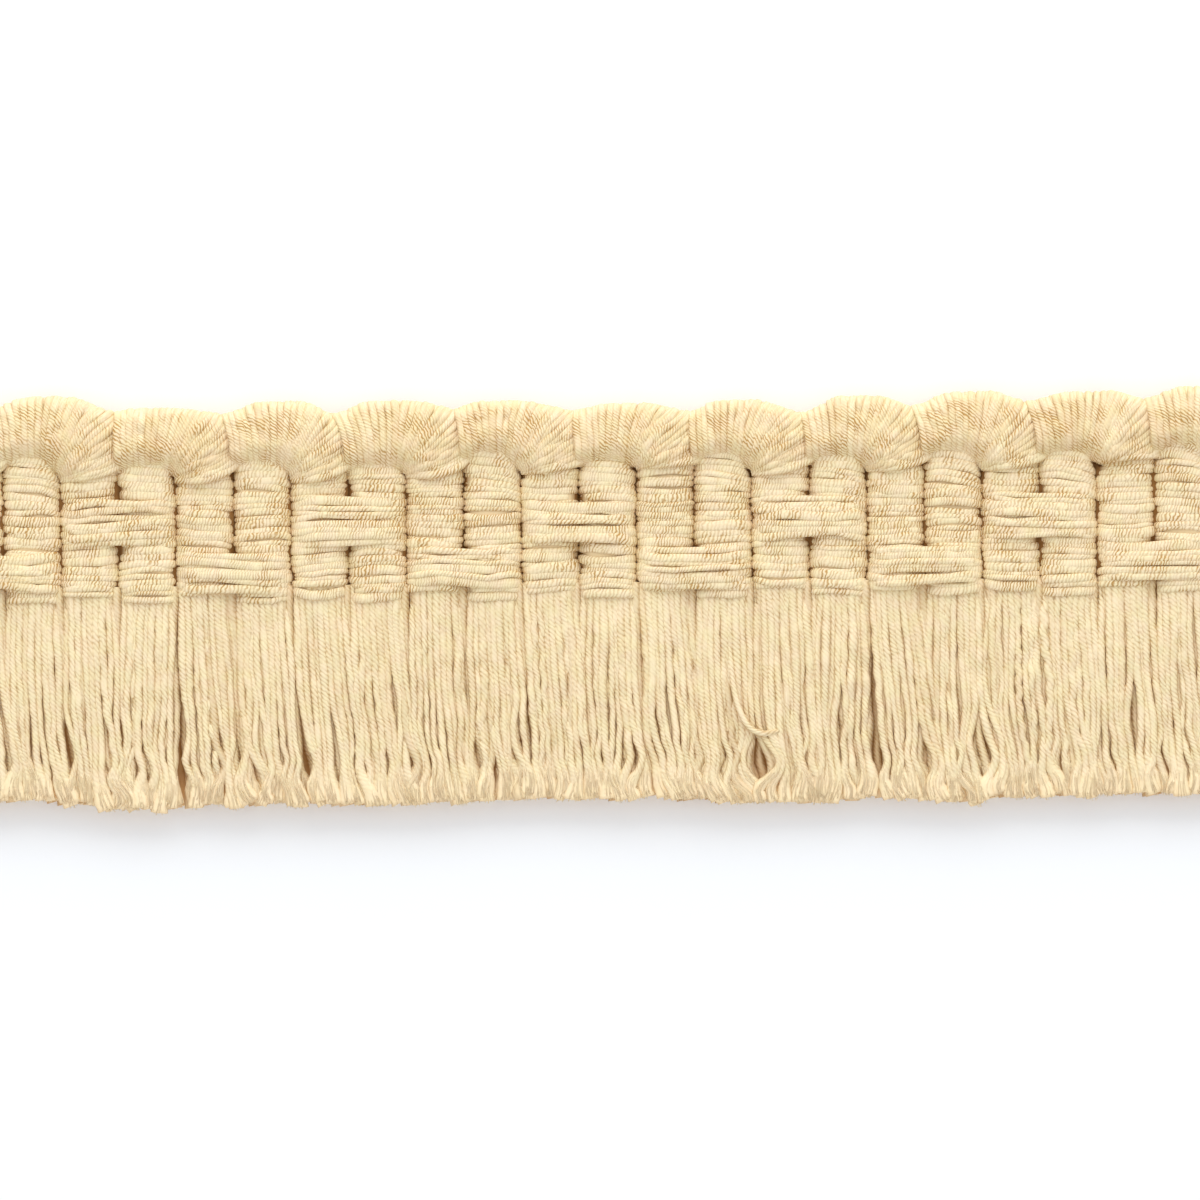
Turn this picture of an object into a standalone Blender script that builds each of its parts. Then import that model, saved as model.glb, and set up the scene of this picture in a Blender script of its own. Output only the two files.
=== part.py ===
"""Brush fringe: a cut length of woven upholstery trimming, lying flat on its back.

Thick bundles of weft yarn run up and down across the trimming. In the heading they are ribs,
wrapped by fine lengthwise warps. At the top edge each bundle turns over into the next rib as a fat
loop, and below the heading the bundles are cut, which makes the brush skirt.

+X runs along the trimming, +Y from the cut ends to the loops, and +Z out of its face. The origin
is the middle of the outline, on the flat back. Lengths are in metres unless a name says mm.
"""

import math
import random
from collections import namedtuple

import bmesh
import bpy

MM = 0.001

# Driving sizes of the whole trimming
LOOP_COUNT = 12
RIB_PITCH = 8.2 * MM
HEADING_WIDTH = 20.4 * MM
LOOP_HEIGHT = 9.8 * MM
SKIRT_LENGTH = 29.4 * MM
GAP = 0.3 * MM

# Heading: ribs, the grooves between them, and the warps that float over a pair of ribs
RIB_THICKNESS = 5.8 * MM
GROOVE_DEPTH = 2.3 * MM
FLOAT_RISE = 0.7 * MM
FLOAT_CROWN = 0.8
EDGE_DROP = 0.9 * MM
LOBE_DIP = 1.9 * MM
WANDER = 0.25 * MM
WANDER_ALONG = 46 * MM
WANDER_UP = 32 * MM

# Loops: how far the bundle's strands wind round it, and how deep the furrows between them are
LOOP_THICKNESS = 7.2 * MM
LOOP_EYE = 0.15 * MM
LOOP_SQUARENESS = 4.2
FURROW_SHARE = 0.12
LOOP_TWIST = math.radians(75)
LOOP_RING = 12
LOOP_STATIONS = 10

# Skirt: the strip its roots share, and two layers of locks, the front one gathered rib by rib
STRIP_WIDTH = 1.4 * MM
SKIRT_THICKNESS = 5.2 * MM
LOCKS_PER_RIB = 6
LAYERS = 2
GATHER_GAP = 1.5 * MM
BACK_GATHER = 0.25
LEAN = 1.5 * MM
SWAY = 0.35 * MM
RIDGE = 0.72
RAGGED = 0.8 * MM
LOCKS_TO_FULL_LENGTH = 24
SEED = 11

# The locks' drift and the grooves' wander die out towards the two cut ends by this power
END_POWER = 6

LOOP_PITCH = 2 * RIB_PITCH
RIB_COUNT = 2 * LOOP_COUNT
LENGTH = RIB_COUNT * RIB_PITCH
TOTAL_WIDTH = SKIRT_LENGTH + HEADING_WIDTH + LOOP_HEIGHT
HEADING_FOOT = SKIRT_LENGTH - TOTAL_WIDTH / 2
HEADING_TOP = HEADING_FOOT + HEADING_WIDTH
STRIP_FOOT = HEADING_FOOT - GAP - STRIP_WIDTH
LAYER_DEPTH = SKIRT_THICKNESS / LAYERS

# Points across one rib: share of its pitch, and share of the groove's depth filled there
Across = namedtuple("Across", "place fill")
RIB_SECTION = (
    Across(0.00, 0.00),
    Across(0.11, 0.68),
    Across(0.34, 0.97),
    Across(0.66, 1.00),
    Across(0.89, 0.68),
)

# Rows up the heading: height above its foot in mm, share of the edge's drop, and whether the
# middle and the low float blocks stand there
Row = namedtuple("Row", "height_mm drop middle low")
HEADING_ROWS = (
    Row(0.0, 1.0, False, False),
    Row(0.7, 0.0, False, False),
    Row(2.3, 0.1, False, False),
    Row(2.8, 0.0, False, True),
    Row(7.7, 0.0, False, True),
    Row(8.2, 0.1, False, False),
    Row(8.7, 0.0, True, False),
    Row(14.3, 0.0, True, False),
    Row(14.8, 0.1, False, False),
    Row(17.6, 0.0, False, False),
    Row(20.4, 0.9, False, False),
)

# The loops from left to right: height above the heading, fall towards the right side, and how far
# the right lobe sinks past the heading's top edge
Loop = namedtuple("Loop", "height_mm fall_mm sink_deg")
LOOPS = (
    Loop(8.7, 1.2, 12),
    Loop(9.8, 2.0, 12),
    Loop(8.0, 0.8, 13),
    Loop(8.9, 1.9, 14),
    Loop(8.7, 1.2, 14),
    Loop(8.5, 1.1, 11),
    Loop(7.9, 0.9, 12),
    Loop(8.4, 0.9, 11),
    Loop(8.8, 1.2, 12),
    Loop(9.2, 1.2, 13),
    Loop(9.1, 0.9, 12),
    Loop(9.5, 1.0, 12),
)

# Levels down the skirt: share of its length, how far each rib's locks are drawn together, share of
# the thickness left, and share of the locks' sideways sway
Level = namedtuple("Level", "down gather thick sway")
SKIRT_LEVELS = (
    Level(0.34, 0.30, 1.00, 0.2),
    Level(0.76, 1.00, 0.92, 1.0),
    Level(1.00, 0.35, 0.80, 0.7),
)


def clear_scene():
    """Remove whatever objects the open file holds."""
    for obj in list(bpy.data.objects):
        bpy.data.objects.remove(obj, do_unlink=True)


def make_material(name, color, roughness):
    """A plain yarn material; color is linear RGB."""
    material = bpy.data.materials.new(name)
    material.use_nodes = True
    shader = material.node_tree.nodes["Principled BSDF"]
    shader.inputs["Base Color"].default_value = (*color, 1.0)
    shader.inputs["Roughness"].default_value = roughness
    shader.inputs["Metallic"].default_value = 0.0
    return material


def add_object(name, bm, material, collection):
    """Turn an edited mesh into a named object, faces out."""
    bmesh.ops.recalc_face_normals(bm, faces=bm.faces)
    mesh = bpy.data.meshes.new(name)
    bm.to_mesh(mesh)
    bm.free()
    mesh.materials.append(material)
    obj = bpy.data.objects.new(name, mesh)
    collection.objects.link(obj)
    return obj


def raise_walls(bm):
    """Extrude an open sheet's rim and return the new points; close_back fills the far side."""
    rim = [edge for edge in bm.edges if edge.is_boundary]
    made = bmesh.ops.extrude_edge_only(bm, edges=rim)["geom"]
    return [item for item in made if isinstance(item, bmesh.types.BMVert)]


def close_back(bm):
    """Fill the one open outline that is left with a single flat face."""
    outline = [edge for edge in bm.edges if edge.is_boundary]
    bmesh.ops.contextual_create(bm, geom=outline)


def end_hold(x):
    """1 in the middle of the trimming, falling to 0 at its two cut ends."""
    return 1 - abs(2 * x / LENGTH) ** END_POWER


def groove_shift(x, y):
    """Slight wander of the grooves between the ribs."""
    along = math.sin(2 * math.pi * x / WANDER_ALONG)
    up = math.sin(2 * math.pi * y / WANDER_UP + 1.0)
    return WANDER * end_hold(x) * along * up


def lobe_dip(rib, step):
    """How far the heading's top edge dips under the right lobe of the loop above it."""
    if rib % 2:
        return LOBE_DIP * RIB_SECTION[step].place
    beside_a_lobe = rib > 0 and step == 0
    return LOBE_DIP if beside_a_lobe else 0.0


def float_height(rib, step):
    """Height of a float block, crowned over the pair of ribs that it bridges."""
    point = RIB_SECTION[step]
    to_side = 1 - point.place if rib % 2 else point.place
    height = RIB_THICKNESS + FLOAT_RISE * (1 - FLOAT_CROWN * to_side**3)
    shoulder = to_side > RIB_SECTION[-2].place
    return height - (1 - point.fill) * GROOVE_DEPTH * FLOAT_CROWN if shoulder else height


def heading_point(line, row):
    """One point of the heading's face, from its line along X and its row."""
    rib, step = divmod(line, len(RIB_SECTION))
    point = RIB_SECTION[step]
    x = -LENGTH / 2 + (rib + point.place) * RIB_PITCH
    y = HEADING_FOOT + row.height_mm * MM
    if row is HEADING_ROWS[-1]:
        y -= lobe_dip(rib, step)
    pair = (rib + 1) // 2
    floats = row.low if pair % 2 else row.middle
    between_pairs = rib % 2 == 1 and step == 0
    if floats and not between_pairs:
        z = float_height(rib, step)
    else:
        z = RIB_THICKNESS - (1 - point.fill) * GROOVE_DEPTH - row.drop * EDGE_DROP * point.fill
    return x + groove_shift(x, y), y, z


def make_heading(material, collection):
    """The woven band: a grid raised into ribs and float blocks, closed by a flat back."""
    lines = RIB_COUNT * len(RIB_SECTION) + 1
    rows = len(HEADING_ROWS)
    bm = bmesh.new()
    bmesh.ops.create_grid(bm, x_segments=lines - 1, y_segments=rows - 1, size=1.0)
    for vert in bm.verts:
        line = round((vert.co.x + 1) / 2 * (lines - 1))
        row = HEADING_ROWS[round((vert.co.y + 1) / 2 * (rows - 1))]
        vert.co = heading_point(line, row)
    for vert in raise_walls(bm):
        vert.co.z = 0.0
    close_back(bm)
    return add_object("heading", bm, material, collection)


def loop_reach(angle, loop):
    """Distance from a loop's eye to its rounded-square outline, at an angle from +X."""
    wide = (LOOP_PITCH - GAP) / 2
    tall = loop.height_mm * MM - GAP - loop.fall_mm * MM * (1 + math.cos(angle)) / 2
    across = (abs(math.cos(angle)) / wide) ** LOOP_SQUARENESS
    up = (abs(math.sin(angle)) / tall) ** LOOP_SQUARENESS
    return (across + up) ** (-1 / LOOP_SQUARENESS)


def loop_section(station, loop, eye_x):
    """One ring of points of the bundle where it has turned some way round the loop's eye."""
    turned = station / (LOOP_STATIONS - 1)
    angle = math.pi - turned * (math.pi + math.radians(loop.sink_deg))
    half_wide = (loop_reach(angle, loop) - LOOP_EYE) / 2
    half_thick = LOOP_THICKNESS / 2
    middle = LOOP_EYE + half_wide
    ring = []
    for index in range(LOOP_RING):
        spot = 2 * math.pi * index / LOOP_RING + LOOP_TWIST * turned
        size = 1 - FURROW_SHARE * (index % 2)
        radial = middle + half_wide * size * math.cos(spot)
        x = eye_x + radial * math.cos(angle)
        y = HEADING_TOP + GAP + radial * math.sin(angle)
        z = half_thick * (1 + size * math.sin(spot))
        ring.append((x, y, z))
    return ring


def make_loop(number, loop, material, collection):
    """A weft bundle lofted from rib to rib round its eye, with its strands raised on it."""
    eye_x = -LENGTH / 2 + (number - 0.5) * LOOP_PITCH
    bm = bmesh.new()
    rings = []
    for station in range(LOOP_STATIONS):
        ring = loop_section(station, loop, eye_x)
        rings.append([bm.verts.new(point) for point in ring])
    for ring, following in zip(rings, rings[1:]):
        for index in range(LOOP_RING):
            after = (index + 1) % LOOP_RING
            bm.faces.new((ring[index], ring[after], following[after], following[index]))
    bm.faces.new(rings[0])
    bm.faces.new(rings[-1])
    return add_object(f"loop_{number:02d}", bm, material, collection)


def lock_slot(number, layer, level, sway):
    """A lock's middle along X at one level, and half the width that it may fill."""
    front = layer == LAYERS - 1
    rib, place = divmod(number, LOCKS_PER_RIB)
    spread = RIB_PITCH - GATHER_GAP * level.gather * (1 if front else BACK_GATHER)
    half = spread / LOCKS_PER_RIB / 2
    rib_middle = -LENGTH / 2 + (rib + 0.5) * RIB_PITCH
    x = rib_middle - spread / 2 + (2 * place + 1) * half
    drift = LEAN * level.down + (sway[rib] * level.sway if front else half * level.sway)
    return x + drift * end_hold(rib_middle), half - GAP / 2


def shape_lock(face, number, layer, level, tip, sway):
    """Move the four corners of a lock's end face to their places at one level."""
    middle = face.calc_center_median()
    x, half = lock_slot(number, layer, level, sway)
    y = STRIP_FOOT + level.down * (tip - STRIP_FOOT)
    front = layer == LAYERS - 1
    low = layer * LAYER_DEPTH * level.thick + (GAP / 2 if layer else 0.0)
    high = (layer + 1) * LAYER_DEPTH * level.thick - (0.0 if front else GAP / 2)
    for vert in face.verts:
        side = 1 if vert.co.x > middle.x else -1
        on_top = vert.co.z > middle.z
        width = half * RIDGE if on_top and front else half
        vert.co = (x + side * width, y, high if on_top else low)


def make_skirt(material, collection):
    """The root strip, and the locks drawn out of its lower side level by level."""
    rng = random.Random(SEED)
    locks = RIB_COUNT * LOCKS_PER_RIB
    sway = [rng.uniform(-SWAY, SWAY) for _ in range(RIB_COUNT)]
    bm = bmesh.new()
    bmesh.ops.create_grid(bm, x_segments=locks, y_segments=LAYERS, size=1.0)
    for vert in bm.verts:
        vert.co = (vert.co.x * LENGTH / 2, STRIP_FOOT, (vert.co.y + 1) / 2 * SKIRT_THICKNESS)
    roots = list(bm.faces)
    for vert in raise_walls(bm):
        vert.co.y = HEADING_FOOT - GAP
    close_back(bm)
    bmesh.ops.inset_individual(bm, faces=roots, thickness=GAP / 2)
    for face in roots:
        middle = face.calc_center_median()
        number = int((middle.x + LENGTH / 2) / (LENGTH / locks))
        layer = int(middle.z / LAYER_DEPTH)
        shorter = rng.uniform(0.0, RAGGED) if number % LOCKS_TO_FULL_LENGTH else 0.0
        tip = shorter - TOTAL_WIDTH / 2
        for level in SKIRT_LEVELS:
            face = bmesh.ops.extrude_discrete_faces(bm, faces=[face])["faces"][0]
            shape_lock(face, number, layer, level, tip, sway)
    return add_object("skirt", bm, material, collection)


def build():
    """Make every sub-part of the trimming in one collection."""
    clear_scene()
    collection = bpy.data.collections.new("brush_fringe")
    bpy.context.scene.collection.children.link(collection)
    heading_yarn = make_material("heading yarn", (0.776, 0.597, 0.356), 0.75)
    loop_yarn = make_material("loop yarn", (0.855, 0.694, 0.429), 0.7)
    skirt_yarn = make_material("skirt yarn", (0.855, 0.680, 0.407), 0.72)
    make_heading(heading_yarn, collection)
    for number, loop in enumerate(LOOPS, start=1):
        make_loop(number, loop, loop_yarn, collection)
    make_skirt(skirt_yarn, collection)


build()
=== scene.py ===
"""Brush fringe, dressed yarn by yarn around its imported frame.

Every yarn is a closed tube swept along a path that is worked out in whole numpy arrays. Lengths
in the formulas are millimetres, measured in the frame's axes: X along the trimming, Y from the
cut ends to the loops, Z out of the face. Meshes are written in metres.
"""

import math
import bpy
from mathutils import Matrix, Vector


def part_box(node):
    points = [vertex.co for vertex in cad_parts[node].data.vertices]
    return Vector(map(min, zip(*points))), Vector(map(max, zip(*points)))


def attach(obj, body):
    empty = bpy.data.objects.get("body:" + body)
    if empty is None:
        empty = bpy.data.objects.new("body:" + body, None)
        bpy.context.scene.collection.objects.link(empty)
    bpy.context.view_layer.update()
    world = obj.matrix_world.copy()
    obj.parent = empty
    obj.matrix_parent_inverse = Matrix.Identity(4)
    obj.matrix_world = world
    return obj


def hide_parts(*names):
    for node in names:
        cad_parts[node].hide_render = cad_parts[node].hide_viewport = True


bl_info = {
    "name": "Brush Fringe",
    "version": (1, 0, 0),
    "blender": (4, 5, 0),
    "location": "View3D > Sidebar > Fringe",
    "description": "Dresses a cut length of brush fringe, yarn by yarn",
    "category": "Add Mesh",
}

from collections import namedtuple
from functools import partial

import bpy
import numpy as np
from bpy.props import FloatProperty, FloatVectorProperty, IntProperty, PointerProperty
from mathutils import Vector

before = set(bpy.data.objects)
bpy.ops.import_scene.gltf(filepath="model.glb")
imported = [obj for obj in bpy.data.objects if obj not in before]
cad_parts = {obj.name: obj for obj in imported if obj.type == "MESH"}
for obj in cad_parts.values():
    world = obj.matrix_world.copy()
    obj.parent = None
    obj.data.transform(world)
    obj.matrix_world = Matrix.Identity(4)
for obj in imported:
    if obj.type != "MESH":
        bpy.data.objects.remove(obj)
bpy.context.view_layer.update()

MM = 0.001
FULL_TURN = 2 * math.pi

# Random phases are drawn from this range, in radians
PHASES = (0, 6.28)

# How far the floats of the frame's heading stand above its ribs, in mm
FLOAT_RISE = 0.7


def box_mm(node):
    """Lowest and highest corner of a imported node, in millimetres."""
    low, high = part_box(node)
    return np.array(low) / MM, np.array(high) / MM


# Places taken from the frame
HEADING_LOW, HEADING_HIGH = box_mm("heading")
LOOP_NODES = sorted(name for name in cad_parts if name.startswith("loop_"))
LEFT = HEADING_LOW[0]
LENGTH = HEADING_HIGH[0] - LEFT
FOOT = HEADING_LOW[1]
HEAD = HEADING_HIGH[1]
RIBS = 2 * len(LOOP_NODES)
PITCH = LENGTH / RIBS
RIB_CROWN = HEADING_HIGH[2] - FLOAT_RISE
LOOP_TOP = box_mm(LOOP_NODES[0])[1][2]

# The photograph's scale, and the pixel that shows the middle of the heading's foot
PHOTO_SIZE = 1200
PX_PER_MM = 7.0
MIDDLE_PX = 579.6
FOOT_PX = 602.0
LEAN_OF_PHOTO = math.radians(0.55)

# Dark openings between the skirt's locks, in the photograph's pixels, with the rows counted level
# with the trimming: middle, first and last row, and how far the yarns part
Opening = namedtuple("Opening", "x top foot width")
OPENINGS = [
    Opening(*row)
    for row in (
        (-60, 690, 775, 7), (8, 725, 770, 5), (40, 730, 768, 6), (58, 617, 713, 4),
        (68, 708, 768, 7), (104, 718, 744, 5), (136, 748, 776, 6), (147, 742, 786, 4),
        (169, 698, 755, 5), (191, 738, 766, 6), (224, 640, 700, 3), (255, 752, 780, 7),
        (269, 742, 768, 5), (303, 745, 772, 6), (335, 700, 745, 3), (359, 636, 662, 3),
        (366, 752, 774, 6), (371, 668, 708, 4), (394, 672, 708, 4), (409, 735, 774, 10),
        (440, 700, 740, 3), (469, 652, 708, 5), (480, 730, 775, 9), (520, 716, 750, 6),
        (533, 672, 755, 4), (547, 745, 772, 5), (586, 690, 740, 3), (610, 640, 690, 3),
        (632, 732, 776, 7), (640, 612, 696, 4), (669, 664, 735, 4), (699, 735, 772, 8),
        (720, 742, 774, 8), (759, 736, 778, 24), (766, 672, 728, 4), (786, 734, 760, 5),
        (805, 742, 782, 5), (838, 690, 730, 3), (871, 740, 776, 3), (927, 732, 776, 9),
        (956, 660, 720, 3), (983, 716, 778, 21), (986, 638, 698, 4), (1022, 690, 750, 4),
        (1057, 744, 778, 7), (1100, 738, 772, 6), (1131, 684, 744, 8), (1163, 748, 782, 7),
        (1215, 730, 778, 8), (1250, 660, 730, 4),
    )
]

# How far from an opening its push on the yarns is felt, and how close to its middle it turns round
OPENING_REACH_PX = 17.0
OPENING_EDGE_PX = 1.6

# The cut edge along the trimming: pixel along the photograph, and depth in pixels below the foot
Edge = namedtuple("Edge", "x depth")
CUT_EDGE = [
    Edge(*row)
    for row in (
        (-110, 200), (-20, 192), (45, 194), (90, 202), (165, 203), (190, 200), (330, 199),
        (470, 199), (490, 196), (690, 197), (715, 202), (835, 201), (865, 199), (940, 201),
        (958, 205), (985, 198), (1150, 196), (1270, 200),
    )
]

# Layers of cut yarns from the face to the back: height of their middles at the heading and at the
# cut ends, how much of an opening's parting they take, half their width and half their thickness
# as shares of a yarn's radius, how fine their tubes are, and how deep in shade the yarn looks
Layer = namedtuple("Layer", "name root_z tip_z parting wide thick sides stations shaded")
LAYERS = (
    Layer("front", 4.80, 3.85, 1.0, 1.29, 0.90, 6, 60, 0.0),
    Layer("second", 4.38, 3.48, 0.6, 1.40, 0.90, 5, 32, 0.16),
    Layer("third", 3.60, 2.75, 0.2, 1.40, 0.95, 5, 20, 0.42),
    Layer("fourth", 1.90, 1.50, 0.0, 1.70, 1.00, 4, 14, 0.75),
    Layer("back", 0.62, 0.55, 0.0, 1.20, 1.00, 5, 14, 0.0),
)

# How a loop's yarns fan out, from its left edge to the yarn that runs round its lobe: share of
# the yarns, then root, two bends and end of the path, on a square that reaches from -1 to 1 along
# the loop and from 0 at its root to 1 at its crest
Fan = namedtuple("Fan", "share root_x root_y out_x out_y in_x in_y end_x end_y")
LOOP_FAN = (
    Fan(0.00, -0.98, -0.06, -0.99, 0.30, -0.99, 0.66, -0.98, 1.00),
    Fan(0.16, -0.66, -0.06, -0.68, 0.33, -0.68, 0.70, -0.64, 1.00),
    Fan(0.36, -0.30, -0.07, -0.31, 0.35, -0.23, 0.75, -0.13, 1.00),
    Fan(0.54, -0.06, -0.10, -0.03, 0.30, 0.14, 0.70, 0.36, 1.00),
    Fan(0.68, 0.01, -0.14, 0.10, 0.20, 0.44, 0.56, 0.82, 1.00),
    Fan(0.76, 0.02, -0.16, 0.18, 0.08, 0.62, 0.32, 1.08, 0.93),
    Fan(0.86, 0.03, -0.18, 0.28, -0.08, 0.74, 0.04, 1.14, 0.56),
    Fan(1.00, 0.03, -0.22, 0.38, -0.34, 0.86, -0.30, 1.12, 0.12),
)

# The crests of the loops along the photograph: pixel and height above the heading in mm of the
# notch on a loop's left, the same of its peak, how far the heading's edge rises under its left
# leg, and how far its right lobe sinks below the heading's edge. The last row closes the last loop
Crest = namedtuple("Crest", "notch_px notch peak_px peak shoulder dip")
CRESTS = (
    Crest(-118, 7.5, -50, 8.6, 0.8, 1.4),
    Crest(-2, 8.2, 45, 9.7, 1.4, 1.5),
    Crest(120, 7.5, 150, 7.95, 0.2, 1.9),
    Crest(226, 7.1, 288, 8.7, 0.6, 1.8),
    Crest(336, 7.0, 395, 8.65, -0.2, 1.6),
    Crest(457, 7.5, 495, 8.5, 1.5, 0.9),
    Crest(576, 7.15, 626, 7.95, 0.4, 0.5),
    Crest(692, 6.85, 735, 8.3, 0.9, 1.5),
    Crest(804, 6.5, 860, 8.7, 0.6, 1.2),
    Crest(914, 7.35, 975, 9.15, 1.2, 1.1),
    Crest(1027, 7.85, 1095, 9.05, 0.9, 0.2),
    Crest(1147, 8.05, 1195, 9.6, 1.7, 1.0),
    Crest(1262, 8.0, 1300, 8.0, 0.0, 0.0),
)

# How steep a crest's sides are: at 1 they would rise all the way from the notch to the peak
CREST_STEEP = 1.45

# Linear RGB of the light: the room is a little cool, so shadows are, and the softbox a little warm
SKY_TINT = (0.978, 0.992, 1.015)
SOFTBOX_TINT = (0.995, 0.987, 0.972)


def linear(code):
    """Linear RGB of an sRGB hex colour."""
    values = [int(code[i : i + 2], 16) / 255 for i in (1, 3, 5)]
    return tuple(v / 12.92 if v <= 0.04045 else ((v + 0.055) / 1.055) ** 2.4 for v in values)


def setting(name, description, default):
    """A setting that the panel shows: a whole number, a length in metres or an sRGB hex colour."""
    words = {"name": name, "description": description}
    if isinstance(default, int):
        return IntProperty(**words, default=default)
    if isinstance(default, float):
        return FloatProperty(**words, default=default, unit="LENGTH")
    return FloatVectorProperty(**words, default=linear(default), subtype="COLOR")


class FringeSizes(bpy.types.PropertyGroup):
    """Sizes that a maker would choose."""

    yarn: setting("Yarn", "Thickness of the plied yarn", 0.00105)
    twist: setting("Twist", "Length of one full turn of the plies", 0.0036)
    plies: setting("Plies", "Plies twisted into one yarn", 5)
    warp_rows: setting("Warp rows", "Warps across the heading", 24)
    yarns_per_rib: setting("Yarns per rib", "Yarns side by side in one layer of a rib", 9)
    loop_yarns: setting("Loop yarns", "Yarns side by side over one loop", 25)
    lean: setting("Lean", "Drift of the cut ends to the right", 0.0018)
    fray: setting("Fray", "Length over which the cut ends untwist", 0.0060)
    seed: setting("Seed", "Seed of the yarns' unevenness", 5)


class FringeColors(bpy.types.PropertyGroup):
    """Colours of mercerised cotton yarn, with the painted shade of its furrows and of the inside of the
    bundles.
    """

    light: setting("Light", "Crowns of the plies", "#F9E9C4")
    tan: setting("Tan", "Darker yarns", "#E9D1A5")
    rose: setting("Rose", "Patches dyed warmer", "#F2D8B7")
    straw: setting("Straw", "Patches dyed yellower", "#EDE1A8")
    # Painted shade: this colour darkens the furrows between plies, the seams between yarns and the very
    # edge of the cut ends
    groove: setting("Groove", "Furrow between plies", "#BC9151")
    # Partly painted light: cut ends are paler as loose fibre is, and paler still against the shade of
    # their downturned tips
    cut: setting("Cut", "Untwisted cut ends", "#F7E6C0")
    # Painted shade: the inner yarns are the same cream cotton, and this brown stands for the shade down
    # the gaps; it also colours every yarn's faint emission, which is painted light
    core: setting("Core", "Packed inner yarns", "#996A33")
    sheen: setting("Sheen", "Shine of the mercerised fibres", "#FFFAF0")
    floor: setting("Floor", "Plain surface", "#F7F9FB")


# Arrays of geometry: points in mm, the corners' point numbers, corners in each face, a UV for each
# corner, and three values for each point: the yarn's shade, how far it has frayed (on a loop, how far
# the furrows fade out towards its crest), and how many turns of twist lie below it
Skin = namedtuple("Skin", "points corners sizes uv shade fray turns")
FIELDS = ("shade", "fray", "turns")


def unit(vectors):
    """Vectors of length 1."""
    return vectors / np.maximum(np.linalg.norm(vectors, axis=-1, keepdims=True), 1e-9)


def smooth(share):
    """Soft step from 0 to 1 as share goes from 0 to 1."""
    share = np.clip(share, 0.0, 1.0)
    return share * share * (3 - 2 * share)


def waves(x, lengths, rng):
    """Mean of sines of x at the given wavelengths, each with a random phase."""
    return sum(np.sin(FULL_TURN * x / size + rng.uniform(*PHASES)) for size in lengths) / len(lengths)


def ripples(x, y, size, rng, count=6):
    """Smooth field over a plane with features about size mm across: mean of slanted sine waves."""
    total = 0.0
    for heading in rng.uniform(0, FULL_TURN, count):
        turn = FULL_TURN / (size * rng.uniform(0.7, 1.5))
        total = total + np.sin(turn * (x * np.cos(heading) + y * np.sin(heading)) + rng.uniform(*PHASES))
    return total / math.sqrt(count)


def wriggle(along, amount, lengths, rng):
    """Uneven bend of each yarn of its own: a sine with a random length, phase and size."""
    count = (len(along), 1)
    wave = np.sin(FULL_TURN * along / rng.uniform(*lengths, count) + rng.uniform(*PHASES, count))
    return rng.normal(0, amount, count) * wave


def photo_x(pixel):
    """X in mm of a column of the photograph."""
    return (np.asarray(pixel, float) - MIDDLE_PX) / PX_PER_MM


def loft(rings, along, laps, turns, shade, fray):
    """Closed skins over stacks of rings.

    rings is (skins, stations, points round, 3). Neighbouring rings are joined by quads and the
    first and last are capped. U runs once round by laps and V is the length along in mm. turns,
    shade and fray are one value for each station.
    """
    skins, stations, around = rings.shape[:3]
    number = np.arange(skins * stations * around).reshape(skins, stations, around)
    after = np.roll(number, -1, axis=2)
    quads = np.stack([number[:, :-1], number[:, 1:], after[:, 1:], after[:, :-1]], axis=-1)
    caps = np.stack([number[:, 0], number[:, -1, ::-1]], axis=1)
    lap_after = np.roll(laps, -1) + np.array([0.0] * (around - 1) + [1.0])
    one_lap = np.stack([laps, laps, lap_after, lap_after], axis=-1)
    u = np.broadcast_to(one_lap, (skins, stations - 1, around, 4))
    height = np.broadcast_to(along[:, :, None], (skins, stations, around))
    v = np.stack([height[:, :-1], height[:, 1:], height[:, 1:], height[:, :-1]], axis=-1)
    cap_u = np.broadcast_to(np.stack([laps, laps[::-1]]), (skins, 2, around))
    cap_v = np.stack([height[:, 0], height[:, -1]], axis=1)
    uv = np.stack([np.append(u, cap_u), np.append(v, cap_v)], axis=-1)
    sizes = np.append(np.full(quads.size // 4, 4), np.full(2 * skins, around))
    corners = np.append(quads, caps)
    spread = [np.repeat(np.broadcast_to(a, (skins, stations)), around) for a in (shade, fray, turns)]
    return Skin(rings.reshape(-1, 3), corners, sizes, uv, *spread)


def round_angles(sides):
    """Angles round a tube from its top: three, six or eight sides face up more than down."""
    if sides == 3:
        return np.radians([0, 78, 282])
    if sides == 6:
        return np.radians([0, 48, 98, 180, 262, 312])
    if sides == 8:
        return np.radians([0, 34, 66, 102, 180, 258, 294, 326])
    return 2 * np.pi * np.arange(sides) / sides


def frames_along(paths, across):
    """Length along each path, and its sideways and upward directions at each point."""
    steps = np.linalg.norm(np.diff(paths, axis=1), axis=2)
    along = np.concatenate([np.zeros((len(paths), 1)), np.cumsum(steps, axis=1)], axis=1)
    ahead = unit(np.gradient(paths, axis=1))
    across = np.broadcast_to(across, paths.shape)
    side = unit(across - (across * ahead).sum(-1, keepdims=True) * ahead)
    return along, side, np.cross(ahead, side)


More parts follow.
